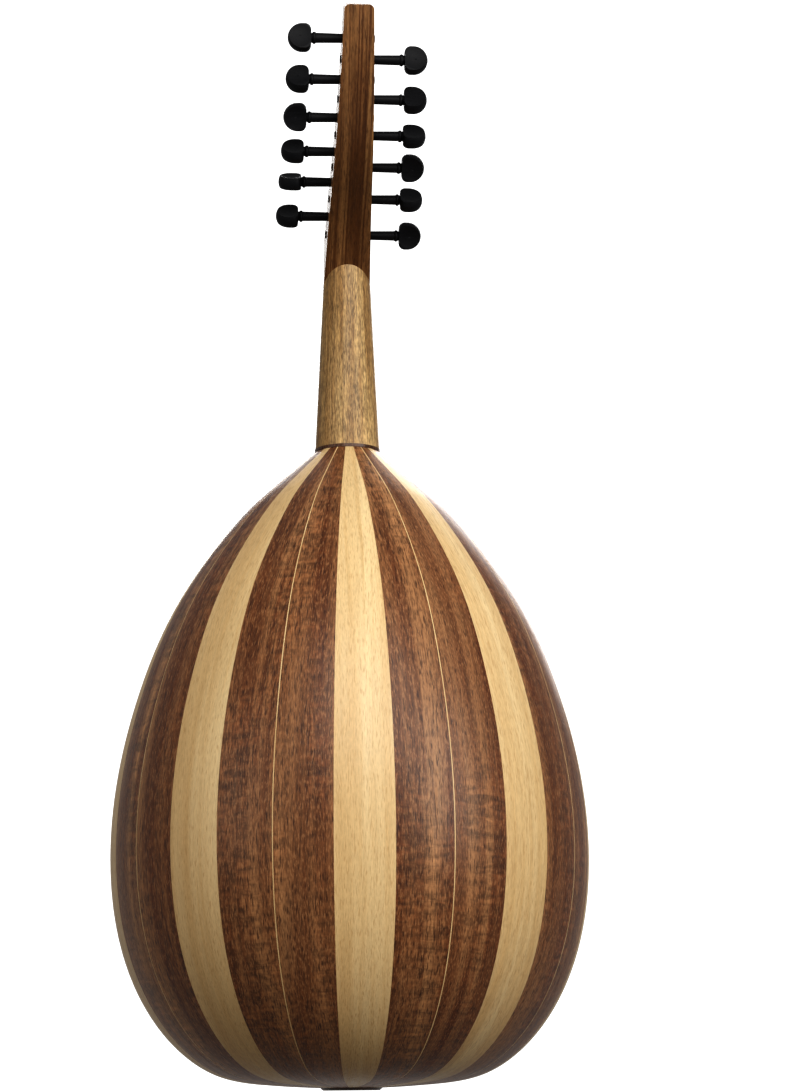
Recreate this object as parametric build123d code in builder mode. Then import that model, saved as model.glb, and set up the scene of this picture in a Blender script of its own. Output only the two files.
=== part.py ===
"""Oud: a thirteen-stave bowl, a bent-back pegbox with twelve friction pegs, and six double courses.

Millimetres. +Z runs up the neck, the soundboard faces -Y and the bowl swells towards +Y.
The origin is the middle of the nut's front edge, on the face of the neck, where a wall hanger
holds the instrument and where its string length is measured from.
"""

from build123d import *
from math import asin, atan2, cos, hypot, radians, sin, sqrt, tan
import os

os.makedirs("parts", exist_ok=True)

# Lengths along the instrument
string_length = 580.0  # nut to bridge
neck_length = 169.5  # nut to the neck joint
body_length = 487.5  # neck joint to tail
joint_z = -neck_length
tail_z = joint_z - body_length
bridge_z = -string_length

# Bowl
stave_count = 13
stave_angle = 180 / stave_count
stave_thickness = 2.8
purfling_width = 0.8
purfling_joints = (2, 5, 8, 11)  # joints between two dark staves
pole_hole_radius = 6.0  # the staves stop short of the pole at the tail
joint_radius = 25.2
bowl_half_outline = [  # half width and height above the tail
    (0, 0),
    (60, 2.5),
    (100, 9.8),
    (130, 29.5),
    (156, 63.5),
    (181, 163),
    (159, 302),
    (129, 370.5),
    (87.5, 429),
    (joint_radius, body_length),
]
outline_start = (1, 0)
outline_end = (-1.15, 1)

# Soundboard
soundboard_thickness = 1.8
binding_width = 2.0
rosette_thickness = 1.5
large_rosette = (0, tail_z + 318, 55)  # across, up, radius
small_rosettes = [(-72, tail_z + 214, 22), (72, tail_z + 214, 22)]
brace_heights = [55, 128, 176, 250, 386, 422]  # above the tail
brace_width = 5.0
brace_depth = 14.0
lining_width = 4.0

# Neck
nut_width = 33.2
nut_length = 5.0
nut_height = 3.2
fingerboard_thickness = 2.2
neck_side_depth = 8.0  # straight side of the neck at its head
neck_head_depth = 19.5
band_length = 2.4
band_proud = 0.5

# Pegbox: its back is an S-curve that starts on the back of the neck
pegbox_start = (neck_head_depth, joint_z + 147.5)  # y and z, on the neck's back
pegbox_lean = (47.0, 64.0, 25.0)  # lean from the neck's line: at the neck, at the bend, at the tip
pegbox_bend = 76.0  # from the start to the bend, along the back
pegbox_length = 228.0
pegbox_width_start = 35.2
pegbox_taper = 0.058  # width lost for each millimetre of length
pegbox_depth_tip = 19.0
pegbox_back_thickness = 4.0
cheek_thickness = 4.2
tip_block_length = 13.0

# Pegs
peg_count = 12
first_peg = 17.2  # along the pegbox's back
peg_spacing = 16.7
peg_depth_share = 0.5  # the pegs' place between the back and the open face
peg_taper = 1 / 60  # radius for each millimetre
peg_collar_radius = 3.75
peg_shank_length = 19.5
peg_clearance = 0.05
head_thickness = 9.4
head_turns = (-34, 40, 37, 58, -40, 37, 38, -33, 21, 17, 4, 0)  # how far each head stands turned

# Strings: six courses of two, from the bass side (-X) to the treble side
course_diameters = (1.10, 0.95, 0.80, 0.95, 0.80, 0.65)
nut_course_spacing = 4.6
nut_pair_spacing = 2.1
bridge_course_spacing = 15.0
bridge_pair_spacing = 4.0
string_rise = 6.4  # above the soundboard, at the bridge
bridge_end_height = 3.4
winding_turns = 5


def save(piece, name):
    """Label a finished piece and write it."""
    piece.part.label = name
    export_step(piece.part, f"parts/{name}.step")


# ---------------------------------------------------------------- bowl


def bowl_curve(inset=0.0):
    """Half outline of the bowl from pole to neck joint, moved inwards by an inset."""
    outer = Spline(*bowl_half_outline, tangents=(outline_start, outline_end), mode=Mode.PRIVATE)
    if inset == 0:
        return outer
    steps = 12
    points = []
    for step in range(steps + 1):
        along = outer % (step / steps)
        inward = Vector(-along.Y, along.X)
        place = outer @ (step / steps)
        if step == steps:
            points.append(place - Vector(inset / along.Y, 0))
        else:
            points.append(place + inward * inset)
    return Spline(*points, tangents=(outline_start, outline_end), mode=Mode.PRIVATE)


def bowl_region(inset=0.0):
    """Face between the bowl's axis and its outline."""
    with BuildSketch(Plane.XY) as region:
        with BuildLine():
            curve = bowl_curve(inset)
            add(curve)
            Line(curve @ 1, (0, body_length))
            Line((0, body_length), curve @ 0)
        make_face()
    return region.sketch


def meridian(angle):
    """Plane through the bowl's axis, with radius along x and height above the tail along y."""
    across = (cos(radians(angle)), sin(radians(angle)), 0)
    return Plane(origin=(0, 0, tail_z), x_dir=across, z_dir=(across[1], -across[0], 0))


with BuildSketch(Plane.XY) as shell_section:
    add(bowl_region())
    add(bowl_region(stave_thickness), mode=Mode.SUBTRACT)
    with Locations((pole_hole_radius / 2, 0)):
        Rectangle(pole_hole_radius, 4 * stave_thickness, mode=Mode.SUBTRACT)

joint_plane_reach = 250.0
for number in range(1, stave_count + 1):
    with BuildPart() as stave:
        with BuildSketch(meridian((number - 1) * stave_angle)):
            add(shell_section.sketch)
        revolve(axis=Axis.Z, revolution_arc=stave_angle)
        for joint in (number - 1, number):
            if joint in purfling_joints:
                with BuildSketch(meridian(joint * stave_angle)):
                    with Locations((joint_plane_reach / 2, body_length / 2)):
                        Rectangle(joint_plane_reach, 2 * body_length)
                extrude(amount=purfling_width / 2, both=True, mode=Mode.SUBTRACT)
    save(stave, f"stave_{number:02d}")

with BuildPart() as stave_purfling:
    for joint in purfling_joints:
        with BuildSketch(meridian(joint * stave_angle)):
            add(shell_section.sketch)
        extrude(amount=purfling_width / 2, both=True)
save(stave_purfling, "stave_purfling")

block_length = 46.0
with BuildPart() as neck_block:
    with BuildSketch(meridian(0)):
        add(bowl_region(stave_thickness))
        with Locations((0, body_length - block_length / 2)):
            Rectangle(2 * body_length, block_length, mode=Mode.INTERSECT)
    revolve(axis=Axis.Z, revolution_arc=180)
save(neck_block, "neck_block")

tail_block_radius = 42.0
tail_block_top = 16.0
with BuildPart() as tail_block:
    with BuildSketch(meridian(0)):
        add(bowl_region(stave_thickness))
        with Locations((0, 0)):
            Rectangle(2 * tail_block_radius, 2 * tail_block_top, mode=Mode.INTERSECT)
    revolve(axis=Axis.Z, revolution_arc=180)
save(tail_block, "tail_block")

tail_cap_radius = 24.0
tail_cap_thickness = 1.5
with BuildPart() as tail_cap:
    with BuildSketch(meridian(0)):
        with BuildLine():
            Line((0, -tail_cap_thickness), (tail_cap_radius - 3, -tail_cap_thickness))
            RadiusArc((tail_cap_radius - 3, -tail_cap_thickness), (tail_cap_radius, 2), -6)
            Polyline((tail_cap_radius, 2), (0, 2), (0, -tail_cap_thickness))
        make_face()
        add(bowl_region(), mode=Mode.SUBTRACT)
    revolve(axis=Axis.Z, revolution_arc=180)
save(tail_cap, "tail_cap")

lining_arc = 2.6  # degrees round the bowl's axis
lining_ends = (60.0, 425.0)  # above the tail
with BuildPart() as rim_linings:
    for start in (0, 180 - lining_arc):
        with BuildSketch(meridian(start)):
            add(bowl_region(stave_thickness))
            add(bowl_region(stave_thickness + lining_width), mode=Mode.SUBTRACT)
            with Locations((0, sum(lining_ends) / 2)):
                Rectangle(2 * body_length, lining_ends[1] - lining_ends[0], mode=Mode.INTERSECT)
        revolve(axis=Axis.Z, revolution_arc=lining_arc)
save(rim_linings, "rim_linings")

# ---------------------------------------------------------------- soundboard

face_plane = Plane(origin=(0, 0, tail_z), x_dir=(1, 0, 0), z_dir=(0, -1, 0))


def body_outline(inset=0.0):
    """Whole outline of the body, moved inwards by an inset."""
    with BuildSketch(Plane.XY) as outline:
        add(bowl_region(inset))
        mirror(about=Plane.YZ)
    return outline.sketch


with BuildPart() as soundboard:
    with BuildSketch(face_plane):
        add(body_outline(binding_width))
        for across, up, radius in [large_rosette] + small_rosettes:
            with Locations((across, up - tail_z)):
                Circle(radius, mode=Mode.SUBTRACT)
    extrude(amount=soundboard_thickness)
save(soundboard, "soundboard")

with BuildPart() as soundboard_binding:
    with BuildSketch(face_plane):
        add(body_outline())
        add(body_outline(binding_width), mode=Mode.SUBTRACT)
    extrude(amount=soundboard_thickness)
save(soundboard_binding, "soundboard_binding")


def rosette(radius):
    """Pierced disc: twelve interlaced rings, a rim and a boss."""
    rim = 0.07 * radius
    strand = 0.05 * radius
    ring = (radius - rim) / 2
    with BuildSketch(Plane.XY) as one_ring:
        Circle(ring + strand)
        Circle(ring, mode=Mode.SUBTRACT)
    with BuildSketch(Plane.XY) as one_rim:
        Circle(radius)
        Circle(radius - rim, mode=Mode.SUBTRACT)
    with BuildSketch(Plane.XY) as lace:
        for place in PolarLocations(ring - strand / 2, 12).locations:
            add(one_ring.sketch.moved(place))
        add(one_rim.sketch)
        Circle(0.16 * radius)
    return lace.sketch


rosette_setback = 0.3  # below the soundboard's face
rosette_plane = face_plane.offset(soundboard_thickness - rosette_setback - rosette_thickness)
with BuildPart() as rosette_large:
    across, up, radius = large_rosette
    with BuildSketch(rosette_plane):
        add(rosette(radius).moved(Location((across, up - tail_z))))
    extrude(amount=rosette_thickness)
save(rosette_large, "rosette_large")

with BuildPart() as rosettes_small:
    for across, up, radius in small_rosettes:
        with BuildSketch(rosette_plane):
            add(rosette(radius).moved(Location((across, up - tail_z))))
        extrude(amount=rosette_thickness)
save(rosettes_small, "rosettes_small")

brace_inset = stave_thickness + lining_width + 4
with BuildPart() as soundboard_braces:
    with BuildSketch(face_plane):
        for height in brace_heights:
            with Locations((0, height)):
                Rectangle(body_length, brace_width)
        add(body_outline(brace_inset), mode=Mode.INTERSECT)
    extrude(amount=-brace_depth)
save(soundboard_braces, "soundboard_braces")

bridge_length = 128.0
bridge_width = 14.0  # along the strings
bridge_height = 9.0
bridge_back_z = bridge_z - bridge_width
soundboard_face = -soundboard_thickness  # y of the soundboard's outer face
string_y_at_bridge = soundboard_face - string_rise
bridge_hole_radius = 0.95


def course_spots(course_spacing, pair_spacing):
    """Places of the twelve strings across the instrument, from -X to +X."""
    spots = []
    for course in range(6):
        middle = (course - 2.5) * course_spacing
        spots += [middle - pair_spacing / 2, middle + pair_spacing / 2]
    return spots


bridge_spots = course_spots(bridge_course_spacing, bridge_pair_spacing)
nut_spots = course_spots(nut_course_spacing, nut_pair_spacing)

with BuildPart() as bridge:
    with BuildSketch(Plane.XY.offset(bridge_back_z)):
        with BuildLine():
            foot_y = soundboard_face
            top_y = soundboard_face - bridge_height
            end_x = bridge_length / 2
            Line((-end_x, foot_y), (end_x, foot_y))
            Line((end_x, foot_y), (end_x, foot_y - bridge_end_height))
            RadiusArc((end_x, foot_y - bridge_end_height), (end_x - 12, top_y), -24)
            Line((end_x - 12, top_y), (12 - end_x, top_y))
            RadiusArc((12 - end_x, top_y), (-end_x, foot_y - bridge_end_height), -24)
            Line((-end_x, foot_y - bridge_end_height), (-end_x, foot_y))
        make_face()
    extrude(amount=bridge_width)
    chamfer(bridge.faces().sort_by(Axis.Y)[0].edges().filter_by(Axis.X), length=2.2)
    with BuildSketch(Plane.XY.offset(bridge_z)):
        for spot in bridge_spots:
            with Locations((spot, string_y_at_bridge)):
                Circle(bridge_hole_radius)
    extrude(amount=-bridge_width, mode=Mode.SUBTRACT)
save(bridge, "bridge")

pickguard_ends = (106, 246)  # above the tail
pickguard_half_width = 36
pickguard_thickness = 0.6
with BuildPart() as pickguard:
    with BuildSketch(face_plane.offset(soundboard_thickness)):
        with BuildLine():
            low, high = pickguard_ends
            widest = low + 0.45 * (high - low)
            Spline((0, low), (pickguard_half_width, widest), (0, high), tangents=((1, 0.25), (-0.7, 1)))
            Spline((0, high), (-pickguard_half_width, widest), (0, low), tangents=((-0.7, -1), (1, -0.25)))
        make_face()
    extrude(amount=pickguard_thickness)
save(pickguard, "pickguard")

# ---------------------------------------------------------------- neck


def along_back(along):
    """Place (y, z) and lean, in radians, of the pegbox's back at a distance along it."""
    first, middle, last = [radians(lean) for lean in pegbox_lean]
    y, z = pegbox_start
    if along <= 0:
        return y + along * sin(first), z + along * cos(first), first
    first_rate = (middle - first) / pegbox_bend
    last_rate = (last - middle) / (pegbox_length - pegbox_bend)
    reach = min(along, pegbox_bend)
    lean = first + first_rate * reach
    y += (cos(first) - cos(lean)) / first_rate
    z += (sin(lean) - sin(first)) / first_rate
    if along > pegbox_bend:
        lean = middle + last_rate * (along - pegbox_bend)
        y += (cos(middle) - cos(lean)) / last_rate
        z += (sin(lean) - sin(middle)) / last_rate
    return y, z, lean


def in_pegbox(along, depth):
    """Point (y, z) at a distance along the pegbox's back and a depth in from it."""
    y, z, lean = along_back(along)
    return y - depth * cos(lean), z + depth * sin(lean)


first_lean = radians(pegbox_lean[0])
ramp_foot = -neck_head_depth / sin(first_lean)  # where the pegbox's back meets the neck's face
trough_start = -neck_head_depth * sin(first_lean) + (nut_length - pegbox_start[1]) * cos(first_lean)
trough_depth = neck_head_depth * cos(first_lean) + (nut_length - pegbox_start[1]) * sin(first_lean)


def on_ramp(along, depth=0.0):
    """Point (y, z) on the straight line that carries the pegbox's back down into the neck."""
    y = pegbox_start[0] + along * sin(first_lean) - depth * cos(first_lean)
    z = pegbox_start[1] + along * cos(first_lean) + depth * sin(first_lean)
    return y, z


def ramp_end(depth):
    """Point (y, z) where that line, at a depth, reaches the neck's flat face."""
    return on_ramp((depth * cos(first_lean) - neck_head_depth) / sin(first_lean), depth)


def pegbox_depth(along):
    """Depth of the pegbox from its back to its open face."""
    share = (along - trough_start) / (pegbox_length - trough_start)
    return trough_depth + (pegbox_depth_tip - trough_depth) * share


def neck_half_width(z):
    """Half the neck's width, which narrows evenly to the nut."""
    return joint_radius + (nut_width / 2 - joint_radius) * (z - joint_z) / neck_length


def neck_section(half_width, side, depth):
    """Cut across the neck: flat face, short straight sides, round back."""
    with BuildSketch(Plane.XY) as section:
        with BuildLine():
            Polyline((-half_width, side), (-half_width, 0), (half_width, 0), (half_width, side))
            ThreePointArc((half_width, side), (0, depth), (-half_width, side))
        make_face()
    return section.sketch


with BuildPart() as neck_band:
    with BuildSketch(Plane.XY.offset(joint_z)):
        add(neck_section(joint_radius + band_proud, 1.0, joint_radius + band_proud))
    extrude(amount=band_length)
save(neck_band, "neck_band")

neck_foot_z = joint_z + band_length
with BuildPart() as neck:
    with BuildSketch(Plane.XY.offset(neck_foot_z)):
        add(neck_section(neck_half_width(neck_foot_z), 1.0, joint_radius - 0.2))
    with BuildSketch(Plane.XY):
        add(neck_section(nut_width / 2, neck_side_depth, neck_head_depth))
    loft(ruled=True)
    with BuildSketch(Plane.YZ):
        with BuildLine():
            Polyline(on_ramp(2 * ramp_foot), on_ramp(-2 * ramp_foot), (-10, 60), close=True)
        make_face()
    extrude(amount=nut_width, both=True, mode=Mode.SUBTRACT)
save(neck, "neck")

with BuildPart() as fingerboard:
    with BuildSketch(Plane.XZ):
        with BuildLine():
            Polyline(
                (-joint_radius, joint_z),
                (joint_radius, joint_z),
                (nut_width / 2, 0),
                (-nut_width / 2, 0),
                close=True,
            )
        make_face()
    extrude(amount=fingerboard_thickness)
save(fingerboard, "fingerboard")

nut_round = 3.0  # radius of the nut's back, which the strings bend over
nut_round_y = nut_round - nut_height
nut_round_z = nut_length - nut_round
with BuildPart() as nut:
    with BuildSketch(Plane.YZ):
        with BuildLine():
            Polyline((nut_round_y, nut_length), (0, nut_length), (0, 0), (-nut_height, 0), (-nut_height, nut_round_z))
            RadiusArc((-nut_height, nut_round_z), (nut_round_y, nut_length), nut_round)
        make_face()
    extrude(amount=nut_width / 2, both=True)
save(nut, "nut")

# ---------------------------------------------------------------- pegbox

tip_y, tip_z, _ = along_back(pegbox_length)
chord = Vector(0, tip_y - pegbox_start[0], tip_z - pegbox_start[1])
half_taper = pegbox_taper / 2 * pegbox_length / chord.length
plan_plane = Plane(origin=(0, *pegbox_start), x_dir=chord, z_dir=(0, -chord.Z, chord.Y))


def half_width_at(y, z):
    """Half the pegbox's width at a point of its side view."""
    reach = (Vector(0, y, z) - plan_plane.origin).dot(chord.normalized())
    return pegbox_width_start / 2 - half_taper * reach


def back_arcs(depth):
    """The two arcs of the pegbox's back at a depth, each as three points (y, z)."""
    middle = (pegbox_bend + pegbox_length) / 2
    stations = [(0, pegbox_bend / 2, pegbox_bend), (pegbox_bend, middle, pegbox_length)]
    return [[in_pegbox(along, depth) for along in triple] for triple in stations]


def plan_slab(first_side, first_setback, last_side, last_setback):
    """Tapering slab between two lines of the pegbox's plan, each set back from a side face."""
    ends = (-45.0, chord.length + 45.0)
    reach = 60.0
    corners = []
    for side, setback, order in ((first_side, first_setback, 1), (last_side, last_setback, -1)):
        for end in ends[::order]:
            corners.append((end, side * (pegbox_width_start / 2 - half_taper * end - setback)))
    with BuildPart() as slab:
        with BuildSketch(plan_plane):
            with BuildLine():
                Polyline(*corners, close=True)
            make_face()
        extrude(amount=reach, both=True)
    return slab.part


whole_width = plan_slab(1, 0, -1, 0)
between_cheeks = plan_slab(1, cheek_thickness, -1, cheek_thickness)

tip_corner = 4.0  # radius of the tip's corners


def tip_corners(piece):
    """The edges at the corners of a pegbox piece's tip, from -X to +X."""
    return piece.faces().sort_by(Axis.Z)[-1].edges().filter_by(Axis.X, reverse=True).sort_by(Axis.X)


def peg_station(peg):
    """Centre (y, z) of a peg, counted from the neck."""
    along = first_peg + peg * peg_spacing
    return in_pegbox(along, pegbox_depth(along) * peg_depth_share)


def peg_side(peg):
    """+1 for a peg whose head is on the +X side, -1 on the other side."""
    return 1 if peg % 2 else -1


def peg_plane(peg):
    """Plane through a peg's axis, with x outwards to its head."""
    return Plane(origin=(0, *peg_station(peg)), x_dir=(peg_side(peg), 0, 0), z_dir=(0, 0, 1))


def peg_radius(peg, outwards):
    """Radius of a peg's taper at a distance out from the middle of the pegbox."""
    collar = half_width_at(*peg_station(peg)) + peg_shank_length
    return peg_collar_radius - (collar - outwards) * peg_taper


with BuildPart() as peg_bores:
    for peg in range(peg_count):
        half = half_width_at(*peg_station(peg)) + 3
        with BuildSketch(peg_plane(peg)):
            with BuildLine():
                Polyline(
                    (-half, 0),
                    (half, 0),
                    (half, peg_radius(peg, half) + peg_clearance),
                    (-half, peg_radius(peg, -half) + peg_clearance),
                    close=True,
                )
            make_face()
        revolve(axis=Axis((0, *peg_station(peg)), (1, 0, 0)))

with BuildPart() as pegbox_back:
    with BuildSketch(Plane.YZ):
        with BuildLine():
            Line(ramp_end(0), pegbox_start)
            for depth in (0, pegbox_back_thickness):
                for arc in back_arcs(depth):
                    ThreePointArc(*arc)
            Line(in_pegbox(pegbox_length, 0), in_pegbox(pegbox_length, pegbox_back_thickness))
            Line(in_pegbox(0, pegbox_back_thickness), ramp_end(pegbox_back_thickness))
            Line(ramp_end(pegbox_back_thickness), ramp_end(0))
        make_face()
    extrude(amount=pegbox_width_start, both=True)
    add(whole_width, mode=Mode.INTERSECT)
    fillet(tip_corners(pegbox_back), radius=tip_corner)
save(pegbox_back, "pegbox_back")

front_stations = 4
front_points = []
for station in range(front_stations + 1):
    along = trough_start + (pegbox_length - trough_start) * station / front_stations
    front_points.append(in_pegbox(along, pegbox_depth(along)))

for name, side in (("pegbox_cheek_left", 1), ("pegbox_cheek_right", -1)):
    with BuildPart() as cheek:
        with BuildSketch(Plane.YZ):
            with BuildLine():
                Line(ramp_end(pegbox_back_thickness), in_pegbox(0, pegbox_back_thickness))
                for arc in back_arcs(pegbox_back_thickness):
                    ThreePointArc(*arc)
                Line(in_pegbox(pegbox_length, pegbox_back_thickness), front_points[-1])
                Spline(*front_points)
                Line(front_points[0], ramp_end(pegbox_back_thickness))
            make_face()
        extrude(amount=pegbox_width_start, both=True)
        add(plan_slab(side, 0, side, cheek_thickness), mode=Mode.INTERSECT)
        fillet(tip_corners(cheek)[0 if side == 1 else -1], radius=tip_corner)
        add(peg_bores.part, mode=Mode.SUBTRACT)
    save(cheek, name)

with BuildPart() as pegbox_foot:
    with BuildSketch(Plane.YZ):
        with BuildLine():
            Polyline(
                ramp_end(pegbox_back_thickness),
                on_ramp(trough_start, pegbox_back_thickness),
                (0, nut_length),
                close=True,
            )
        make_face()
    extrude(amount=pegbox_width_start, both=True)
    add(between_cheeks, mode=Mode.INTERSECT)
save(pegbox_foot, "pegbox_foot")

with BuildPart() as pegbox_tip:
    with BuildSketch(Plane.YZ):
        block_start = pegbox_length - tip_block_length
        with BuildLine():
            ThreePointArc(
                in_pegbox(block_start, pegbox_back_thickness),
                in_pegbox(block_start + tip_block_length / 2, pegbox_back_thickness),
                in_pegbox(pegbox_length, pegbox_back_thickness),
            )
            Polyline(
                in_pegbox(pegbox_length, pegbox_back_thickness),
                in_pegbox(pegbox_length, pegbox_depth_tip),
                in_pegbox(block_start, pegbox_depth(block_start)),
                in_pegbox(block_start, pegbox_back_thickness),
            )
        make_face()
    extrude(amount=pegbox_width_start, both=True)
    add(between_cheeks, mode=Mode.INTERSECT)
save(pegbox_tip, "pegbox_tip")

# ---------------------------------------------------------------- pegs, windings and strings

bead_width = 2.6
bead_radius = 4.55
waist_length = 1.0
waist_radius = 3.5
head_length = 17.4
head_radius = 10.7
shoulder_round = 4.6
peg_far_end = 0.8  # how far a peg stands out of the far cheek
dish_radius = 34.0
dish_depth = 1.2

for peg in range(peg_count):
    half = half_width_at(*peg_station(peg))
    collar = half + peg_shank_length
    head = collar + bead_width + waist_length
    tail = -half - peg_far_end
    axis = Axis((0, *peg_station(peg)), (1, 0, 0))
    turn = radians(head_turns[peg])
    flat_normal = Vector(0, cos(turn), sin(turn))
    flat_plane = Plane(origin=(0, *peg_station(peg)), x_dir=(peg_side(peg), 0, 0), z_dir=flat_normal)
    with BuildPart() as tuning_peg:
        with BuildSketch(peg_plane(peg)):
            with BuildLine():
                Polyline(
                    (head + head_length, 0),
                    (tail, 0),
                    (tail, peg_radius(peg, tail) - 0.4),
                    (tail + 0.4, peg_radius(peg, tail + 0.4)),
                    (collar, peg_collar_radius),
                )
                bead_end = collar + bead_width
                ThreePointArc(
                    (collar, peg_collar_radius),
                    (collar + bead_width / 2, bead_radius),
                    (bead_end, peg_collar_radius),
                )
                Polyline((bead_end, peg_collar_radius), (head, waist_radius), (head, head_radius - shoulder_round))
                shoulder_bow = shoulder_round * (1 - sqrt(0.5))
                ThreePointArc(
                    (head, head_radius - shoulder_round),
                    (head + shoulder_bow, head_radius - shoulder_bow),
                    (head + shoulder_round, head_radius),
                )
                crown = head + head_length - head_radius
                Line((head + shoulder_round, head_radius), (crown, head_radius))
                ThreePointArc(
                    (crown, head_radius),
                    (crown + head_radius * sqrt(0.5), head_radius * sqrt(0.5)),
                    (head + head_length, 0),
                )
            make_face()
        revolve(axis=axis)
        with BuildSketch(flat_plane):
            Rectangle(400, 100)
        extrude(amount=head_thickness / 2, both=True, mode=Mode.INTERSECT)
        dish_offset = dish_radius + head_thickness / 2 - dish_depth
        with Locations(
            flat_plane * Location((head + head_length / 2 - 0.5, 0, dish_offset)),
            flat_plane * Location((head + head_length / 2 - 0.5, 0, -dish_offset)),
        ):
            Sphere(dish_radius, mode=Mode.SUBTRACT)
    save(tuning_peg, f"peg_{peg + 1:02d}")

# The outermost strings go to the nearest pegs, the innermost to the pegs at the tip
bass_pegs = range(0, peg_count, 2)
treble_pegs = range(peg_count - 1, 0, -2)
string_pegs = [*bass_pegs, *treble_pegs]
lane_share = 0.62  # how far in a string's winding lies, of its place at the nut
string_clearance = 0.03
winding_gap = 0.15
string_tail = 1.5  # what a string shows behind the bridge


def string_diameter(string):
    """Diameter of a string, counted from the bass side."""
    return course_diameters[string // 2]


for string, peg in enumerate(string_pegs):
    diameter = string_diameter(string)
    middle = peg_side(peg) * nut_spots[string] * lane_share
    first = middle - winding_turns * diameter / 2
    last = middle + winding_turns * diameter / 2
    with BuildPart() as winding:
        with BuildSketch(peg_plane(peg)):
            with BuildLine():
                Line((first, peg_radius(peg, first)), (last, peg_radius(peg, last)))
                core = peg_radius(peg, last) + diameter / 2
                Line((first, peg_radius(peg, first)), (first, core))
                for turn in range(winding_turns):
                    edge = first + turn * diameter
                    ThreePointArc((edge, core), (edge + diameter / 2, core + diameter / 2), (edge + diameter, core))
                Line((last, core), (last, peg_radius(peg, last)))
            make_face()
        revolve(axis=Axis((0, *peg_station(peg)), (1, 0, 0)))
    save(winding, f"winding_{peg + 1:02d}")


def string_route(string):
    """Bridge end, nut corner, peg end and nut bend radius of a string."""
    peg = string_pegs[string]
    diameter = string_diameter(string)
    bend = nut_round + string_clearance + diameter / 2
    lane = nut_spots[string] * lane_share
    shaft = peg_radius(peg, peg_side(peg) * lane) + winding_turns * diameter / 2 * peg_taper
    spool = shaft + diameter / 2
    peg_y, peg_z = peg_station(peg)
    across = peg_y - nut_round_y
    up = peg_z - nut_round_z
    turn = atan2(across, up) - asin((spool - bend) / hypot(across, up))
    corner = (nut_spots[string], nut_round_y - bend, nut_round_z + bend * tan(turn / 2))
    gap = sqrt((shaft + diameter + winding_gap) ** 2 - shaft**2)
    end = (
        lane,
        peg_y - spool * cos(turn) - gap * sin(turn),
        peg_z + spool * sin(turn) - gap * cos(turn),
    )
    middle = Vector(bridge_spots[string], string_y_at_bridge, bridge_z - bridge_width / 2)
    start = middle - (Vector(*corner) - middle).normalized() * (bridge_width / 2 + string_tail)
    return start, corner, end, bend


for name, strings in (("strings_wound", range(0, 6)), ("strings_plain", range(6, 12))):
    with BuildPart() as string_set:
        for string in strings:
            start, corner, end, bend = string_route(string)
            with BuildLine() as route:
                FilletPolyline(start, corner, end, radius=bend)
            with BuildSketch(Plane(origin=start, z_dir=Vector(*corner) - start)):
                Circle(string_diameter(string) / 2)
            sweep(path=route.line)
    save(string_set, name)
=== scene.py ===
import math

import bmesh
import bpy
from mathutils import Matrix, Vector


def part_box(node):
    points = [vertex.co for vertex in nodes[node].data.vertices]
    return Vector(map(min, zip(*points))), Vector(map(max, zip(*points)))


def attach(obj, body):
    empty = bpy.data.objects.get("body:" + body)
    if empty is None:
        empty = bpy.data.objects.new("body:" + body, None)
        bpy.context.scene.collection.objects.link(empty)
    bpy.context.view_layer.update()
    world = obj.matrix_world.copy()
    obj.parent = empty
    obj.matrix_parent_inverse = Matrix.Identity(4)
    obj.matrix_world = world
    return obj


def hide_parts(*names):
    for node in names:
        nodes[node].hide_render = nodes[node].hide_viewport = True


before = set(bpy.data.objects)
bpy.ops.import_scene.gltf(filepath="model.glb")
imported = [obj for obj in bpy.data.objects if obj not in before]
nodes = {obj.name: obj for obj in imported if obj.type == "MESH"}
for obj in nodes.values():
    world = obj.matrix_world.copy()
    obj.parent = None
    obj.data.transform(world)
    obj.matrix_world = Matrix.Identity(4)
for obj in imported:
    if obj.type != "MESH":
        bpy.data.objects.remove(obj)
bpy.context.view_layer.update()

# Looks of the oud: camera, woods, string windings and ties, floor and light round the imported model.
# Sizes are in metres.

# ------------------------------------------------------------------ camera

IMAGE_WIDTH = 800
FOCAL_PIXELS = 2839.0  # focal length in pixels of an image of that width
CAMERA_DISTANCE = 2.160  # from the bowl's axis
CAMERA_BELOW_TAIL = 0.031
CAMERA_TURN = math.radians(3.36)  # round the bowl's axis, from straight behind
CAMERA_AIM = math.radians(1.07)  # the aim's turn past the axis
CAMERA_TILT = math.radians(11.64)
CAMERA_ROLL = math.radians(-0.57)

binding_low, binding_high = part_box("soundboard_binding")
tail_z = binding_low.z
bowl_radius = binding_high.x


def make_camera():
    """Camera low behind the bowl, looking slightly up."""
    data = bpy.data.cameras.new("camera")
    data.sensor_fit = "HORIZONTAL"
    data.lens = FOCAL_PIXELS / IMAGE_WIDTH * data.sensor_width
    camera = bpy.data.objects.new("camera", data)
    bpy.context.collection.objects.link(camera)
    heading = CAMERA_TURN + CAMERA_AIM
    camera.location = (
        CAMERA_DISTANCE * math.sin(CAMERA_TURN),
        CAMERA_DISTANCE * math.cos(CAMERA_TURN),
        tail_z - CAMERA_BELOW_TAIL,
    )
    forward = Vector((
        -math.sin(heading) * math.cos(CAMERA_TILT),
        -math.cos(heading) * math.cos(CAMERA_TILT),
        math.sin(CAMERA_TILT),
    ))
    right = forward.cross(Vector((0, 0, 1))).normalized()
    up = right.cross(forward)
    rolled_right = math.cos(CAMERA_ROLL) * right + math.sin(CAMERA_ROLL) * up
    rolled_up = -math.sin(CAMERA_ROLL) * right + math.cos(CAMERA_ROLL) * up
    rotation = camera.matrix_world.to_3x3()
    rotation.col[0] = rolled_right
    rotation.col[1] = rolled_up
    rotation.col[2] = -forward
    camera.rotation_euler = rotation.to_euler()
    bpy.context.scene.camera = camera


make_camera()

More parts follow.
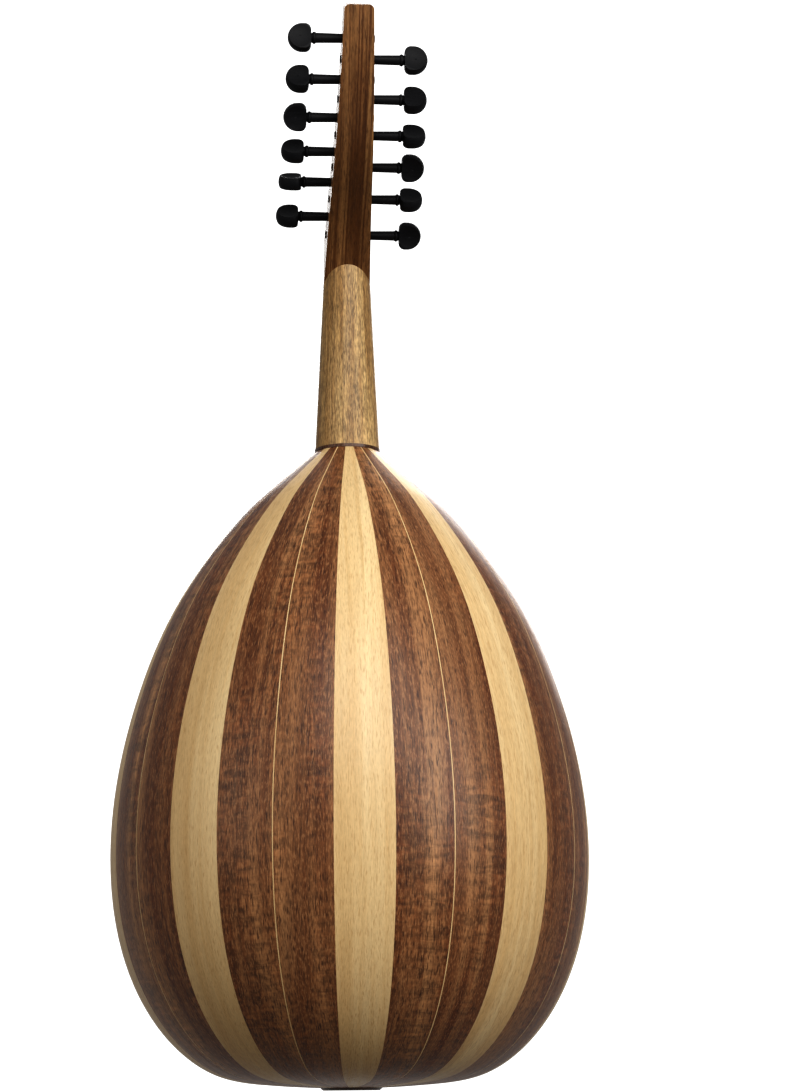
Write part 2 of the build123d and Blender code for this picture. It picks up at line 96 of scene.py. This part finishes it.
# ------------------------------------------------------------------ node helpers

MIX_FIRST = 6  # sockets of a Mix node that mixes colours
MIX_SECOND = 7
MIX_COLOUR = 2


class Tree:
    """Short way to build a material's nodes."""

    def __init__(self, name):
        self.material = bpy.data.materials.new(name)
        self.material.use_nodes = True
        self.nodes = self.material.node_tree.nodes
        self.links = self.material.node_tree.links
        self.shader = self.nodes["Principled BSDF"]
        self.place = self.nodes.new("ShaderNodeTexCoord").outputs["Object"]

    def put(self, value, socket):
        """Link or set one input."""
        if isinstance(value, bpy.types.NodeSocket):
            self.links.new(value, socket)
        else:
            socket.default_value = value

    def math(self, operation, first, second=0.0, third=0.0):
        """Result of a Math node."""
        node = self.nodes.new("ShaderNodeMath")
        node.operation = operation
        for value, socket in zip((first, second, third), node.inputs):
            self.put(value, socket)
        return node.outputs[0]

    def split(self, vector):
        """The three parts of a vector."""
        node = self.nodes.new("ShaderNodeSeparateXYZ")
        self.put(vector, node.inputs[0])
        return node.outputs

    def join(self, x, y, z):
        """A vector of three parts."""
        node = self.nodes.new("ShaderNodeCombineXYZ")
        for value, socket in zip((x, y, z), node.inputs):
            self.put(value, socket)
        return node.outputs[0]

    def noise(self, vector, scale=1.0, detail=3.0, roughness=0.55, distortion=0.0):
        """Value of a Noise texture."""
        node = self.nodes.new("ShaderNodeTexNoise")
        self.put(vector, node.inputs["Vector"])
        node.inputs["Scale"].default_value = scale
        node.inputs["Detail"].default_value = detail
        node.inputs["Roughness"].default_value = roughness
        node.inputs["Distortion"].default_value = distortion
        return node.outputs["Fac"]

    def range(self, value, low, high, to_low=0.0, to_high=1.0):
        """A value mapped and clamped from one range to another."""
        node = self.nodes.new("ShaderNodeMapRange")
        for part, socket in zip((value, low, high, to_low, to_high), node.inputs):
            self.put(part, socket)
        return node.outputs[0]

    def mix(self, share, first, second, blend="MIX"):
        """A mix of two colours."""
        node = self.nodes.new("ShaderNodeMix")
        node.data_type = "RGBA"
        node.blend_type = blend
        self.put(share, node.inputs[0])
        for value, socket in ((first, node.inputs[MIX_FIRST]), (second, node.inputs[MIX_SECOND])):
            self.put((*value, 1.0) if isinstance(value, tuple) else value, socket)
        return node.outputs[MIX_COLOUR]

    def length(self, first, second):
        """Length of a flat vector."""
        squares = [self.math("MULTIPLY", part, part) for part in (first, second)]
        return self.math("SQRT", self.math("ADD", *squares))

    def bump(self, height, distance, strength=1.0):
        """Bump from a height."""
        node = self.nodes.new("ShaderNodeBump")
        self.put(height, node.inputs["Height"])
        node.inputs["Distance"].default_value = distance
        node.inputs["Strength"].default_value = strength
        self.links.new(node.outputs[0], self.shader.inputs["Normal"])


# ------------------------------------------------------------------ wood

# Each pattern's scale across and along the grain, per metre, and what it adds to a piece's seed
BANDS = (60, 1.8, 0)
FINE_GRAIN = (560, 22, 3)
STREAKS = (170, 4, 5)
CLOUDS = (16, 8, 9)
DARK_LINES = (650, 5, 27)
DASHES = (1000, 210, 31)
RIPPLE = (60, 170, 13)
RIPPLE_PATCHES = (34, 6, 17)
PORES = (1250, 120, 21)
WAVER = (9, 2.5, 3)
SHIFT_SHARES = (1.0, 1.7, 0.6)  # how a seed shifts a pattern, across, deep and along

# The noise values between which each pattern comes in, and for some the least and most of it
BANDS_IN = (0.35, 0.65)
STREAKS_IN = (0.48, 0.68, 0.0, 0.75)
CLOUDS_IN = (0.35, 0.7, 0.0, 0.55)
LINES_IN = (0.47, 0.60)
SHADE_IN = (0.37, 0.63)
RIPPLE_IN = (0.36, 0.66, 0.62, 1.55)
PATCHES_IN = (0.42, 0.6)
FLECKS_IN = (0.53, 0.66)
PORES_IN = (0.56, 0.68)
MOST_NOISE = (0.3, 0.7)
GROWTH_IN = (0.35, 1.0, 0.0, 0.5)

WIDEST_ABOVE_TAIL = 0.163  # height of the bowl's widest place
SLOPE_BELOW = -1.0  # how the grain follows the bowl inwards, below and above its widest place
SLOPE_ABOVE = 0.3
FINE_SHARE = 0.45  # share of the fine grain in the shading; the dashes are the rest
RIPPLE_HEIGHT = 1.4
PORE_HEIGHT = -1.2
ROUGHNESS_CHANGE = (-0.05, 0.08)
COAT_ROUGHNESS = 0.22
WOOD_SPECULAR = 0.36


def bowl_grain(tree, middle):
    """Across, deep and along places on a stave whose middle stands at an angle round the axis."""
    x, y, z = tree.split(tree.place)
    radius = tree.length(x, y)
    angle = tree.math("ARCTAN2", y, x)
    across = tree.math("MULTIPLY", tree.math("SUBTRACT", angle, middle), radius)
    inwards = tree.math("SUBTRACT", bowl_radius, radius)
    above = tree.math("GREATER_THAN", z, tail_z + WIDEST_ABOVE_TAIL)
    slope = tree.range(above, 0.0, 1.0, SLOPE_BELOW, SLOPE_ABOVE)
    along = tree.math("ADD", z, tree.math("MULTIPLY", inwards, slope))
    return across, 0.0, along


def straight_grain(tree, lean=0.0):
    """Across, deep and along places in a straight piece whose grain leans back from +Z."""
    x, y, z = tree.split(tree.place)
    along = tree.math(
        "ADD", tree.math("MULTIPLY", z, math.cos(lean)), tree.math("MULTIPLY", y, math.sin(lean))
    )
    deep = tree.math(
        "SUBTRACT", tree.math("MULTIPLY", y, math.cos(lean)), tree.math("MULTIPLY", z, math.sin(lean))
    )
    return x, deep, along


def scaled(tree, grain, pattern, seed=0.0):
    """Place in a pattern, from the places across, deep and along the grain."""
    across, deep, along = grain
    across_scale, along_scale, own_seed = pattern
    shift_x, shift_y, shift_z = (share * (seed + own_seed) for share in SHIFT_SHARES)
    return tree.join(
        tree.math("MULTIPLY_ADD", across, across_scale, shift_x),
        tree.math("MULTIPLY_ADD", deep, across_scale, shift_y),
        tree.math("MULTIPLY_ADD", along, along_scale, shift_z),
    )


def wood(tree, grain, colours, seed, figure=0.0, pores=0.0, pore_colour=(0.2, 0.08, 0.03),
         contrast=0.35, lines=0.0, flecks=0.0, roughness=0.40, coat=0.06, depth=0.00004):
    """Varnished wood: broad bands, fine grain, pores, and a rippled cross figure in patches."""
    dark, middle, light = colours
    bands = tree.noise(scaled(tree, grain, BANDS, seed), detail=2)
    fine = tree.noise(scaled(tree, grain, FINE_GRAIN, seed), detail=4, roughness=0.7)
    streaks = tree.noise(scaled(tree, grain, STREAKS, seed), detail=3)
    cloud = tree.noise(scaled(tree, grain, CLOUDS, seed), detail=2)
    tone = tree.mix(tree.range(bands, *BANDS_IN), dark, light)
    tone = tree.mix(tree.range(cloud, *CLOUDS_IN), tone, middle)
    tone = tree.mix(tree.range(streaks, *STREAKS_IN), tone, dark)
    if lines:
        drawn = tree.noise(scaled(tree, grain, DARK_LINES, seed), detail=2, distortion=0.25)
        tone = tree.mix(tree.range(drawn, *LINES_IN, 0.0, lines), tone, dark)
    dashes = tree.noise(scaled(tree, grain, DASHES, seed), detail=2, roughness=0.6)
    both = tree.math(
        "ADD", tree.math("MULTIPLY", fine, FINE_SHARE), tree.math("MULTIPLY", dashes, 1 - FINE_SHARE)
    )
    shade = tree.range(both, *SHADE_IN, 1.0 - contrast, 1.0 + contrast)
    tone = tree.mix(1.0, tone, tree.join(shade, shade, shade), "MULTIPLY")
    height = fine
    if figure:
        ripple = tree.noise(scaled(tree, grain, RIPPLE, seed), detail=3, distortion=0.5)
        patch = tree.noise(scaled(tree, grain, RIPPLE_PATCHES, seed), detail=1)
        shown = tree.math("MULTIPLY", tree.range(patch, *PATCHES_IN), figure)
        lift = tree.range(ripple, *RIPPLE_IN)
        tone = tree.mix(shown, tone, tree.mix(1.0, tone, tree.join(lift, lift, lift), "MULTIPLY"))
        height = tree.math("MULTIPLY_ADD", tree.math("MULTIPLY", ripple, shown), RIPPLE_HEIGHT, height)
    if flecks:
        tone = tree.mix(tree.range(dashes, *FLECKS_IN, 0.0, flecks), tone, light)
    openings = tree.noise(scaled(tree, grain, PORES, seed), detail=1)
    pits = tree.range(openings, *PORES_IN)
    if pores:
        tone = tree.mix(tree.math("MULTIPLY", pits, pores), tone, pore_colour)
    tree.put(tone, tree.shader.inputs["Base Color"])
    low, high = (roughness + change for change in ROUGHNESS_CHANGE)
    tree.put(tree.range(fine, *MOST_NOISE, low, high), tree.shader.inputs["Roughness"])
    tree.shader.inputs["Coat Weight"].default_value = coat
    tree.shader.inputs["Coat Roughness"].default_value = COAT_ROUGHNESS
    tree.shader.inputs["Specular IOR Level"].default_value = WOOD_SPECULAR
    tree.bump(tree.math("MULTIPLY_ADD", pits, PORE_HEIGHT, height), depth)


# Dark, middle and light colour of each wood
PALE = ((0.66, 0.465, 0.235), (0.74, 0.555, 0.305), (0.80, 0.63, 0.37))
DARK = ((0.112, 0.034, 0.0105), (0.215, 0.086, 0.031), (0.37, 0.20, 0.095))
NECK = ((0.23, 0.125, 0.042), (0.42, 0.27, 0.108), (0.56, 0.40, 0.20))
PEGBOX = ((0.105, 0.042, 0.014), (0.37, 0.195, 0.080), (0.50, 0.295, 0.13))
SPRUCE = ((0.70, 0.47, 0.22), (0.76, 0.55, 0.29), (0.80, 0.61, 0.35))
BLACK = ((0.004, 0.0035, 0.0035), (0.008, 0.0065, 0.006), (0.014, 0.011, 0.010))
WALNUT = ((0.045, 0.018, 0.008), (0.075, 0.032, 0.014), (0.11, 0.05, 0.024))


def paint(names, material):
    """Give CAD nodes a material."""
    for name in names:
        mesh = nodes[name].data
        mesh.materials.clear()
        mesh.materials.append(material)
        nodes[name].active_material = material


PALE_EVERY = 3
STAVE_SEED_STEP = 7.3
pale_looks = {"pores": 0.38, "pore_colour": (0.40, 0.22, 0.085), "contrast": 0.10}
dark_looks = {
    "figure": 0.9,
    "pores": 0.75,
    "pore_colour": (0.035, 0.010, 0.004),
    "contrast": 0.36,
    "flecks": 0.6,
}


def paint_staves():
    """Woods of the staves: every third one is pale, from the edges in."""
    names = sorted(name for name in nodes if name.startswith("stave_") and name != "stave_purfling")
    for number, name in enumerate(names):
        tree = Tree("wood_" + name)
        middle = math.pi * (number + 0.5) / len(names)
        grain = bowl_grain(tree, middle)
        is_pale = number % PALE_EVERY == 0
        colours, looks = (PALE, pale_looks) if is_pale else (DARK, dark_looks)
        wood(tree, grain, colours, STAVE_SEED_STEP * number, **looks)
        paint([name], tree.material)


paint_staves()


def straight_wood(name, colours, seed, lean=0.0, flat=False, **looks):
    """Material for a straight piece; the grain of a flat one doesn't change through its thickness."""
    tree = Tree(name)
    across, deep, along = straight_grain(tree, lean)
    wood(tree, (across, 0.0 if flat else deep, along), colours, seed, **looks)
    return tree.material


PEGBOX_LEAN = math.radians(50)
PEGBOX_SEED = 21.0
PEGBOX_SEED_STEP = 5
pegbox_names = ["pegbox_back", "pegbox_cheek_left", "pegbox_cheek_right", "pegbox_foot", "pegbox_tip"]
inner_names = ["neck_block", "tail_block", "rim_linings", "soundboard_braces"]
trim_names = ["soundboard_binding", "tail_cap", "neck_band", "pickguard"]
neck_looks = {
    "figure": 0.3,
    "pores": 0.6,
    "pore_colour": (0.10, 0.045, 0.014),
    "contrast": 0.5,
    "lines": 0.3,
    "roughness": 0.46,
}
pegbox_looks = {"pores": 0.6, "pore_colour": (0.05, 0.018, 0.007), "contrast": 0.25, "lines": 1.0}

paint(["stave_purfling"], straight_wood("wood_purfling", PALE, seed=4.0, contrast=0.06))
paint(["neck"], straight_wood("wood_neck", NECK, seed=11.0, **neck_looks))
for place, name in enumerate(pegbox_names):
    seed = PEGBOX_SEED + PEGBOX_SEED_STEP * place
    is_flat = name == "pegbox_back"
    paint([name], straight_wood("wood_" + name, PEGBOX, seed, PEGBOX_LEAN, is_flat, **pegbox_looks))
paint(inner_names, straight_wood("wood_inner", SPRUCE, seed=31.0, contrast=0.2, roughness=0.7, coat=0.0))
paint(trim_names, straight_wood("wood_trim", WALNUT, seed=37.0, pores=0.4, contrast=0.35, roughness=0.3))
paint(["bridge"], straight_wood("wood_bridge", WALNUT, seed=41.0, pores=0.5, contrast=0.35))
paint(["fingerboard"], straight_wood("wood_fingerboard", BLACK, seed=43.0, contrast=0.5, roughness=0.3))
rosette_wood = straight_wood("wood_rosette", WALNUT, seed=47.0, contrast=0.3, roughness=0.5, coat=0.0)
paint(["rosette_large", "rosettes_small"], rosette_wood)

GROWTH_LINES = 620  # lines per metre of the soundboard's width
GROWTH_WAVER = 9
GROWTH_COLOUR = (0.50, 0.28, 0.11)
INLAY_EDGE = 0.00008  # half the width of an inlay's soft edge
RING_INLAYS = (  # start outside the hole, width, colour
    (0.0012, 0.0010, (0.06, 0.022, 0.01)),
    (0.0026, 0.0006, (0.75, 0.6, 0.38)),
    (0.0045, 0.0022, (0.16, 0.06, 0.022)),
    (0.0064, 0.0006, (0.75, 0.6, 0.38)),
    (0.0074, 0.0006, (0.06, 0.022, 0.01)),
)


def ring_inlays(tree, tone, distance, radius):
    """The tone with inlaid rings round a hole of that radius."""
    for start, width, colour in RING_INLAYS:
        off = tree.math("ABSOLUTE", tree.math("SUBTRACT", distance, radius + start))
        inside = tree.range(off, width / 2 - INLAY_EDGE, width / 2 + INLAY_EDGE, 1.0, 0.0)
        tone = tree.mix(inside, tone, colour)
    return tone


def soundboard_material():
    """Spruce with narrow growth lines and inlaid rings round the sound holes."""
    tree = Tree("wood_soundboard")
    across, _, along = straight_grain(tree)
    grain = (across, 0.0, along)
    wood(tree, grain, SPRUCE, seed=53.0, contrast=0.12, roughness=0.42, coat=0.1)
    tone = tree.shader.inputs["Base Color"].links[0].from_socket
    waver = tree.noise(scaled(tree, grain, WAVER), detail=1)
    spacing = tree.math("MULTIPLY_ADD", across, GROWTH_LINES, tree.math("MULTIPLY", waver, GROWTH_WAVER))
    wave = tree.math("SINE", tree.math("MULTIPLY", spacing, 2 * math.pi))
    tone = tree.mix(tree.range(wave, *GROWTH_IN), tone, GROWTH_COLOUR)
    x, _, z = tree.split(tree.place)
    large_low, large_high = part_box("rosette_large")
    small_low, small_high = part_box("rosettes_small")
    large_z = (large_low.z + large_high.z) / 2
    small_z = (small_low.z + small_high.z) / 2
    small_radius = (small_high.z - small_low.z) / 2
    small_x = small_high.x - small_radius
    large_distance = tree.length(x, tree.math("SUBTRACT", z, large_z))
    beside = tree.math("SUBTRACT", tree.math("ABSOLUTE", x), small_x)
    small_distance = tree.length(beside, tree.math("SUBTRACT", z, small_z))
    tone = ring_inlays(tree, tone, large_distance, large_high.x)
    tone = ring_inlays(tree, tone, small_distance, small_radius)
    tree.put(tone, tree.shader.inputs["Base Color"])
    return tree.material


paint(["soundboard"], soundboard_material())

PEG_GRAIN_ALONG = 90  # noise scale per metre, along and across a peg
PEG_GRAIN_ACROSS = 900
PEG_COLOURS = ((0.0030, 0.0030, 0.0036), (0.0075, 0.0078, 0.0095))
PEG_ROUGHNESS = (0.5, 0.62)
BONE_PORES = (1500, 160, 0)
BONE_COLOURS = ((0.72, 0.66, 0.52), (0.82, 0.78, 0.66))
BONE_ROUGHNESS = (0.25, 0.4)
STRING_CLOUDS = 300  # per metre
STRING_SHADE = 0.85  # darker parts of a string's colour
STRING_ROUGHNESS = (0.25, 0.36)
WINDING_PITCH = 0.00035


def peg_material():
    """Black stained hardwood: nearly matt heads with faint pores."""
    tree = Tree("peg_black")
    x, y, z = tree.split(tree.place)
    place = tree.join(
        tree.math("MULTIPLY", x, PEG_GRAIN_ALONG),
        tree.math("MULTIPLY", y, PEG_GRAIN_ACROSS),
        tree.math("MULTIPLY", z, PEG_GRAIN_ACROSS),
    )
    fine = tree.noise(place, detail=3)
    tree.put(tree.mix(tree.range(fine, *MOST_NOISE), *PEG_COLOURS), tree.shader.inputs["Base Color"])
    tree.put(tree.range(fine, *MOST_NOISE, *PEG_ROUGHNESS), tree.shader.inputs["Roughness"])
    tree.shader.inputs["Specular IOR Level"].default_value = 0.2
    tree.bump(fine, distance=0.00003)
    return tree.material


def bone_material():
    """Polished bone with faint pores along the nut."""
    tree = Tree("bone")
    across, deep, along = straight_grain(tree)
    fine = tree.noise(scaled(tree, (along, deep, across), BONE_PORES), detail=3)
    tree.put(tree.mix(tree.range(fine, *MOST_NOISE), *BONE_COLOURS), tree.shader.inputs["Base Color"])
    tree.put(tree.range(fine, *MOST_NOISE, *BONE_ROUGHNESS), tree.shader.inputs["Roughness"])
    tree.bump(fine, distance=0.00002)
    return tree.material


def string_material(name, colour, is_wound):
    """Clear nylon, or fine silvery winding over a core."""
    tree = Tree(name)
    cloud = tree.noise(tree.place, scale=STRING_CLOUDS, detail=2)
    shaded = tuple(STRING_SHADE * part for part in colour)
    tree.put(tree.mix(tree.range(cloud, *MOST_NOISE), shaded, colour), tree.shader.inputs["Base Color"])
    tree.put(tree.range(cloud, *MOST_NOISE, *STRING_ROUGHNESS), tree.shader.inputs["Roughness"])
    if is_wound:
        tree.shader.inputs["Metallic"].default_value = 1.0
        z = tree.split(tree.place)[2]
        turns = tree.math("SINE", tree.math("MULTIPLY", z, 2 * math.pi / WINDING_PITCH))
        tree.bump(turns, distance=0.00005, strength=0.7)
    else:
        tree.shader.inputs["Transmission Weight"].default_value = 0.25
        tree.bump(cloud, distance=0.00001)
    return tree.material


plain = string_material("string_plain", (0.80, 0.77, 0.66), False)
wound = string_material("string_wound", (0.62, 0.60, 0.57), True)
paint(sorted(name for name in nodes if name.startswith("peg_")), peg_material())
paint(["nut"], bone_material())
paint(["strings_plain"], plain)
paint(["strings_wound"], wound)

# ------------------------------------------------------------------ softened edges

SOFT_ANGLE = math.radians(40)  # sharper edges than this are rounded
SOFT_SEGMENTS = 2


def soften(names, width):
    """Round the sharp edges of CAD nodes a little."""
    for name in names:
        bevel = nodes[name].modifiers.new("softened", "BEVEL")
        bevel.width = width
        bevel.segments = SOFT_SEGMENTS
        bevel.limit_method = "ANGLE"
        bevel.angle_limit = SOFT_ANGLE


soften(["bridge", "nut"], width=0.0004)
soften(pegbox_names[:3], width=0.0005)

# ------------------------------------------------------------------ windings of string on the pegs

TURNS = 5
STEPS_PER_TURN = 24
TUBE_SIDES = 10
TURN_RADIUS = 0.49  # in string diameters, so that one turn doesn't cut into the next
NUT_ROUND = 0.0030  # radius of the nut's back edge
NUT_ROUND_Y = -0.0002  # centre of that round
NUT_ROUND_Z = 0.0020
STRING_CLEARANCE = 0.00003
LEAD_LENGTH = 0.0031  # from inside the CAD string's end to the winding
LANE_SHARE = 0.62  # how far in a string's winding lies, of its place at the nut


def tube_ring(shape, point, first, second, radius):
    """Vertices of one ring round a point."""
    ring = []
    for step in range(TUBE_SIDES):
        turn = 2 * math.pi * step / TUBE_SIDES
        outwards = math.cos(turn) * first + math.sin(turn) * second
        ring.append(shape.verts.new(point + radius * outwards))
    return ring


def tube(name, lines, radius, material, body):
    """Closed mesh tube along each line of points, with one material, on a body."""
    mesh = bpy.data.meshes.new(name)
    shape = bmesh.new()
    for line in lines:
        rings = []
        normal = (line[1] - line[0]).normalized().orthogonal()
        for index, point in enumerate(line):
            before = line[max(index - 1, 0)]
            after = line[min(index + 1, len(line) - 1)]
            along = (after - before).normalized()
            normal = (normal - along * normal.dot(along)).normalized()
            rings.append(tube_ring(shape, point, normal, along.cross(normal), radius))
        for low, high in zip(rings, rings[1:]):
            for step in range(TUBE_SIDES):
                following = (step + 1) % TUBE_SIDES
                shape.faces.new((low[step], low[following], high[following], high[step]))
        shape.faces.new(rings[0][::-1])
        shape.faces.new(rings[-1])
    bmesh.ops.recalc_face_normals(shape, faces=shape.faces)
    for face in shape.faces:
        face.smooth = len(face.verts) == 4
    shape.to_mesh(mesh)
    shape.free()
    mesh.materials.append(material)
    piece = bpy.data.objects.new(name, mesh)
    bpy.context.collection.objects.link(piece)
    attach(piece, body)
    return piece


def wind(name):
    """Replace a winding's plain rings with turns of string, and lead the string onto it from the nut."""
    low, high = (Vector(corner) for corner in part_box(name))
    middle = (low + high) / 2
    diameter = (high.x - low.x) / TURNS
    spool = (high.z - low.z) / 2 - diameter / 2
    bend = NUT_ROUND + STRING_CLEARANCE + diameter / 2
    across = middle.y - NUT_ROUND_Y
    up = middle.z - NUT_ROUND_Z
    lean = math.atan2(across, up) - math.asin((spool - bend) / math.hypot(across, up))
    half_steps = (TURNS - 1) * STEPS_PER_TURN // 2
    coil = []
    for step in range(-half_steps, half_steps + 1):
        turn = 2 * math.pi * step / STEPS_PER_TURN
        coil.append(Vector((
            middle.x + diameter * step / STEPS_PER_TURN,
            middle.y - spool * math.cos(lean + turn),
            middle.z + spool * math.sin(lean + turn),
        )))
    number = name.split("_")[1]
    is_plain = int(number) % 2 == 0
    material = plain if is_plain else wound
    radius = TURN_RADIUS * diameter
    turns = tube("turns_" + number, [coil], radius, material, f"peg_{number}_body")
    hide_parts(name)
    touch = Vector((middle.x, middle.y - spool * math.cos(lean), middle.z + spool * math.sin(lean)))
    nut_x = middle.x / LANE_SHARE
    corner = Vector((nut_x, NUT_ROUND_Y - bend, NUT_ROUND_Z + bend * math.tan(lean / 2)))
    start = touch - (touch - corner).normalized() * LEAD_LENGTH
    tube("lead_" + number, [[start, touch]], radius, material, "root")


for name in sorted(name for name in nodes if name.startswith("winding_")):
    wind(name)

# ------------------------------------------------------------------ string ties at the bridge

COURSES = 6
COURSE_DIAMETERS = (0.00110, 0.00095, 0.00080, 0.00095, 0.00080, 0.00065)
NUT_COURSE_SPACING = 0.0046
NUT_PAIR_SPACING = 0.0021
BRIDGE_COURSE_SPACING = 0.015
BRIDGE_PAIR_SPACING = 0.004
STRING_HEIGHT = 0.0064  # string above the soundboard at the bridge
TIE_TURNS = 2
STEPS_PER_TIE_TURN = 16
CORNER_STEPS = 6
TIE_BEHIND = 1.2  # the ties' measures are in string diameters
TIE_BEFORE = 1.4
TIE_ABOVE = 0.55
TIE_BESIDE = 1.15
TIE_LEAN = 0.6  # share of the way sideways at the bridge's back
TIE_END_UNDER = 0.2
TIE_CORNER = 0.9
TIE_PITCH = 1.02
TIE_TURN_DEPTH = 1.1
TIE_RADIUS = 0.48


def rounded(points, radius):
    """A line of points with its corners rounded."""
    line = [points[0]]
    for before, corner, after in zip(points, points[1:], points[2:]):
        into = (corner - before).normalized()
        out = (after - corner).normalized()
        for step in range(CORNER_STEPS + 1):
            share = step / CORNER_STEPS
            first = corner - into * radius * (1 - share)
            second = corner + out * radius * share
            line.append(first.lerp(second, share))
    line.append(points[-1])
    return line


def tie_line(string_x, slope, diameter, soundboard_y, side):
    """String from behind the bridge over its top and round itself in front."""
    bridge_low, bridge_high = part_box("bridge")
    bridge_z = (bridge_low.z + bridge_high.z) / 2
    string_y = soundboard_y - STRING_HEIGHT
    top_y = bridge_low.y - TIE_ABOVE * diameter
    back_z = bridge_low.z - TIE_BEHIND * diameter
    front_z = bridge_high.z + TIE_BEFORE * diameter
    beside = side * TIE_BESIDE * diameter

    def spot(x_off, y, z):
        """A point beside the string."""
        return Vector((string_x + slope * (z - bridge_z) + x_off, y, z))

    line = rounded([
        spot(0, string_y, bridge_low.z + diameter),
        spot(0, string_y, back_z),
        spot(TIE_LEAN * beside, top_y, back_z),
        spot(beside, top_y, front_z),
        spot(beside, string_y - TIE_END_UNDER * diameter, front_z),
    ], TIE_CORNER * diameter)
    for step in range(1, TIE_TURNS * STEPS_PER_TIE_TURN + 1):
        turns = step / STEPS_PER_TIE_TURN
        turn = 2 * math.pi * turns
        centre = spot(0, string_y, front_z + TIE_PITCH * diameter * turns)
        round_x = beside * math.cos(turn)
        round_y = TIE_TURN_DEPTH * diameter * math.sin(turn)
        line.append(centre + Vector((round_x, round_y, 0)))
    return line


def tie_strings():
    """Ties for both sets of strings."""
    bridge_low, bridge_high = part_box("bridge")
    soundboard_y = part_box("soundboard")[0].y
    length = -(bridge_low.z + bridge_high.z) / 2
    for course, diameter in enumerate(COURSE_DIAMETERS):
        off_middle = course - (COURSES - 1) / 2
        material, slot_name = (wound, "wound_string") if course < COURSES // 2 else (plain, "plain_string")
        lines = []
        for side in (-1, 1):
            bridge_x = off_middle * BRIDGE_COURSE_SPACING + side * BRIDGE_PAIR_SPACING / 2
            nut_x = off_middle * NUT_COURSE_SPACING + side * NUT_PAIR_SPACING / 2
            slope = (nut_x - bridge_x) / length
            lines.append(tie_line(bridge_x, slope, diameter, soundboard_y, side))
        tube(f"ties_{course + 1}", lines, TIE_RADIUS * diameter, material, "root")


tie_strings()

# ------------------------------------------------------------------ stage and light

FLOOR_SIZE = 12.0
FLOOR_BELOW_TAIL = 0.42
FLOOR_COLOURS = ((0.46, 0.46, 0.455), (0.50, 0.50, 0.495))
FLOOR_GLOW = (1.0, 0.995, 0.985, 1.0)
SEEN_BY_MATT = (0.088, 0.068, 0.046, 1)  # the surround's colour for each kind of ray
SEEN_BY_GLOSS = (0.36, 0.36, 0.36, 1)
SEEN_BY_CAMERA = (1, 1, 1, 1)


def make_floor():
    """Pale floor well below the instrument, which hangs from its neck."""
    bpy.ops.mesh.primitive_plane_add(size=FLOOR_SIZE, location=(0, 0, tail_z - FLOOR_BELOW_TAIL))
    floor = bpy.context.object
    floor.name = "floor"
    tree = Tree("floor_pale")
    soft = tree.noise(tree.place, scale=3.0, detail=2)
    tree.put(tree.mix(soft, *FLOOR_COLOURS), tree.shader.inputs["Base Color"])
    tree.shader.inputs["Roughness"].default_value = 0.9
    tree.shader.inputs["Emission Color"].default_value = FLOOR_GLOW
    tree.shader.inputs["Emission Strength"].default_value = 0.5
    floor.data.materials.append(tree.material)
    floor.visible_diffuse = False
    floor.visible_glossy = False


def area_light(name, place, aim, size, power, colour=(1, 1, 1)):
    """Soft rectangular light pointed at a place, with its power in watts."""
    data = bpy.data.lights.new(name, "AREA")
    data.shape = "RECTANGLE"
    data.size, data.size_y = size
    data.energy = power
    data.color = colour
    light = bpy.data.objects.new(name, data)
    bpy.context.collection.objects.link(light)
    light.location = place
    light.rotation_euler = (Vector(aim) - Vector(place)).to_track_quat("-Z", "Y").to_euler()


def make_world():
    """White behind the object, grey in its gloss, and dim warm light on it."""
    world = bpy.data.worlds.new("studio")
    world.use_nodes = True
    tree = world.node_tree
    path = tree.nodes.new("ShaderNodeLightPath")
    gloss_mix = tree.nodes.new("ShaderNodeMix")
    camera_mix = tree.nodes.new("ShaderNodeMix")
    mixes = ((gloss_mix, "Is Glossy Ray", SEEN_BY_GLOSS), (camera_mix, "Is Camera Ray", SEEN_BY_CAMERA))
    for mix, ray, colour in mixes:
        mix.data_type = "RGBA"
        mix.inputs[MIX_SECOND].default_value = colour
        tree.links.new(path.outputs[ray], mix.inputs[0])
    gloss_mix.inputs[MIX_FIRST].default_value = SEEN_BY_MATT
    tree.links.new(gloss_mix.outputs[MIX_COLOUR], camera_mix.inputs[MIX_FIRST])
    tree.links.new(camera_mix.outputs[MIX_COLOUR], tree.nodes["Background"].inputs[0])
    bpy.context.scene.world = world


def make_lights():
    """Three lights on the bowl's side, overhead and to each side, and one on the soundboard's side."""
    area_light("key", place=(-0.10, 1.35, 0.48), aim=(0, 0.10, -0.32), size=(1.2, 0.8), power=12.6,
               colour=(1.0, 0.985, 0.96))
    area_light("sheen", place=(-1.25, 1.40, 0.10), aim=(0, 0.05, -0.34), size=(0.9, 1.1), power=13)
    area_light("fill", place=(1.7, 1.2, 0.1), aim=(0, 0, -0.35), size=(1.0, 1.2), power=5)
    area_light("front", place=(-0.35, -2.2, 0.9), aim=(0, 0, -0.35), size=(1.6, 1.6), power=42)


make_floor()
make_lights()
make_world()
bpy.context.scene.view_settings.view_transform = "Standard"
bpy.context.scene.view_settings.look = "High Contrast"
